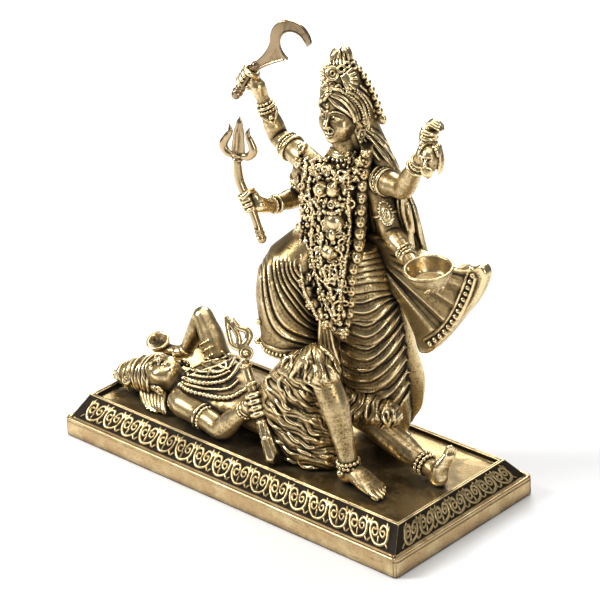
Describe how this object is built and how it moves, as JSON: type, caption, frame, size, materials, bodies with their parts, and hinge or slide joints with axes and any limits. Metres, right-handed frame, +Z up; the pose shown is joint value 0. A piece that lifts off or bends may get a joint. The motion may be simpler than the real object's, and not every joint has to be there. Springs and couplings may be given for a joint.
{
  "type": "kali figure",
  "caption": "Cast brass showpiece: a four-armed goddess with sickle, trident, bowl and garlands stands over a man lying on a low stepped plinth with scrollwork.",
  "frame": {"origin": "centre of the plinth's underside", "axes": "+Z up, +X along the plinth's long side towards the lying man's feet, -Y the side that the goddess faces"},
  "size_m": [0.17, 0.0774, 0.1756],
  "materials": {
    "figure_brass": "antique, polished on the high places, dark in the hollows",
    "plinth_brass": "antique, satin",
    "blade_brass": "satin"
  },
  "bodies": {
    "root": {"plinth": "plinth_brass", "reclining_figure": "figure_brass", "standing_figure": "figure_brass", "sickle": "blade_brass", "trident": "figure_brass", "bowl": "figure_brass"}
  },
  "joints": []
}
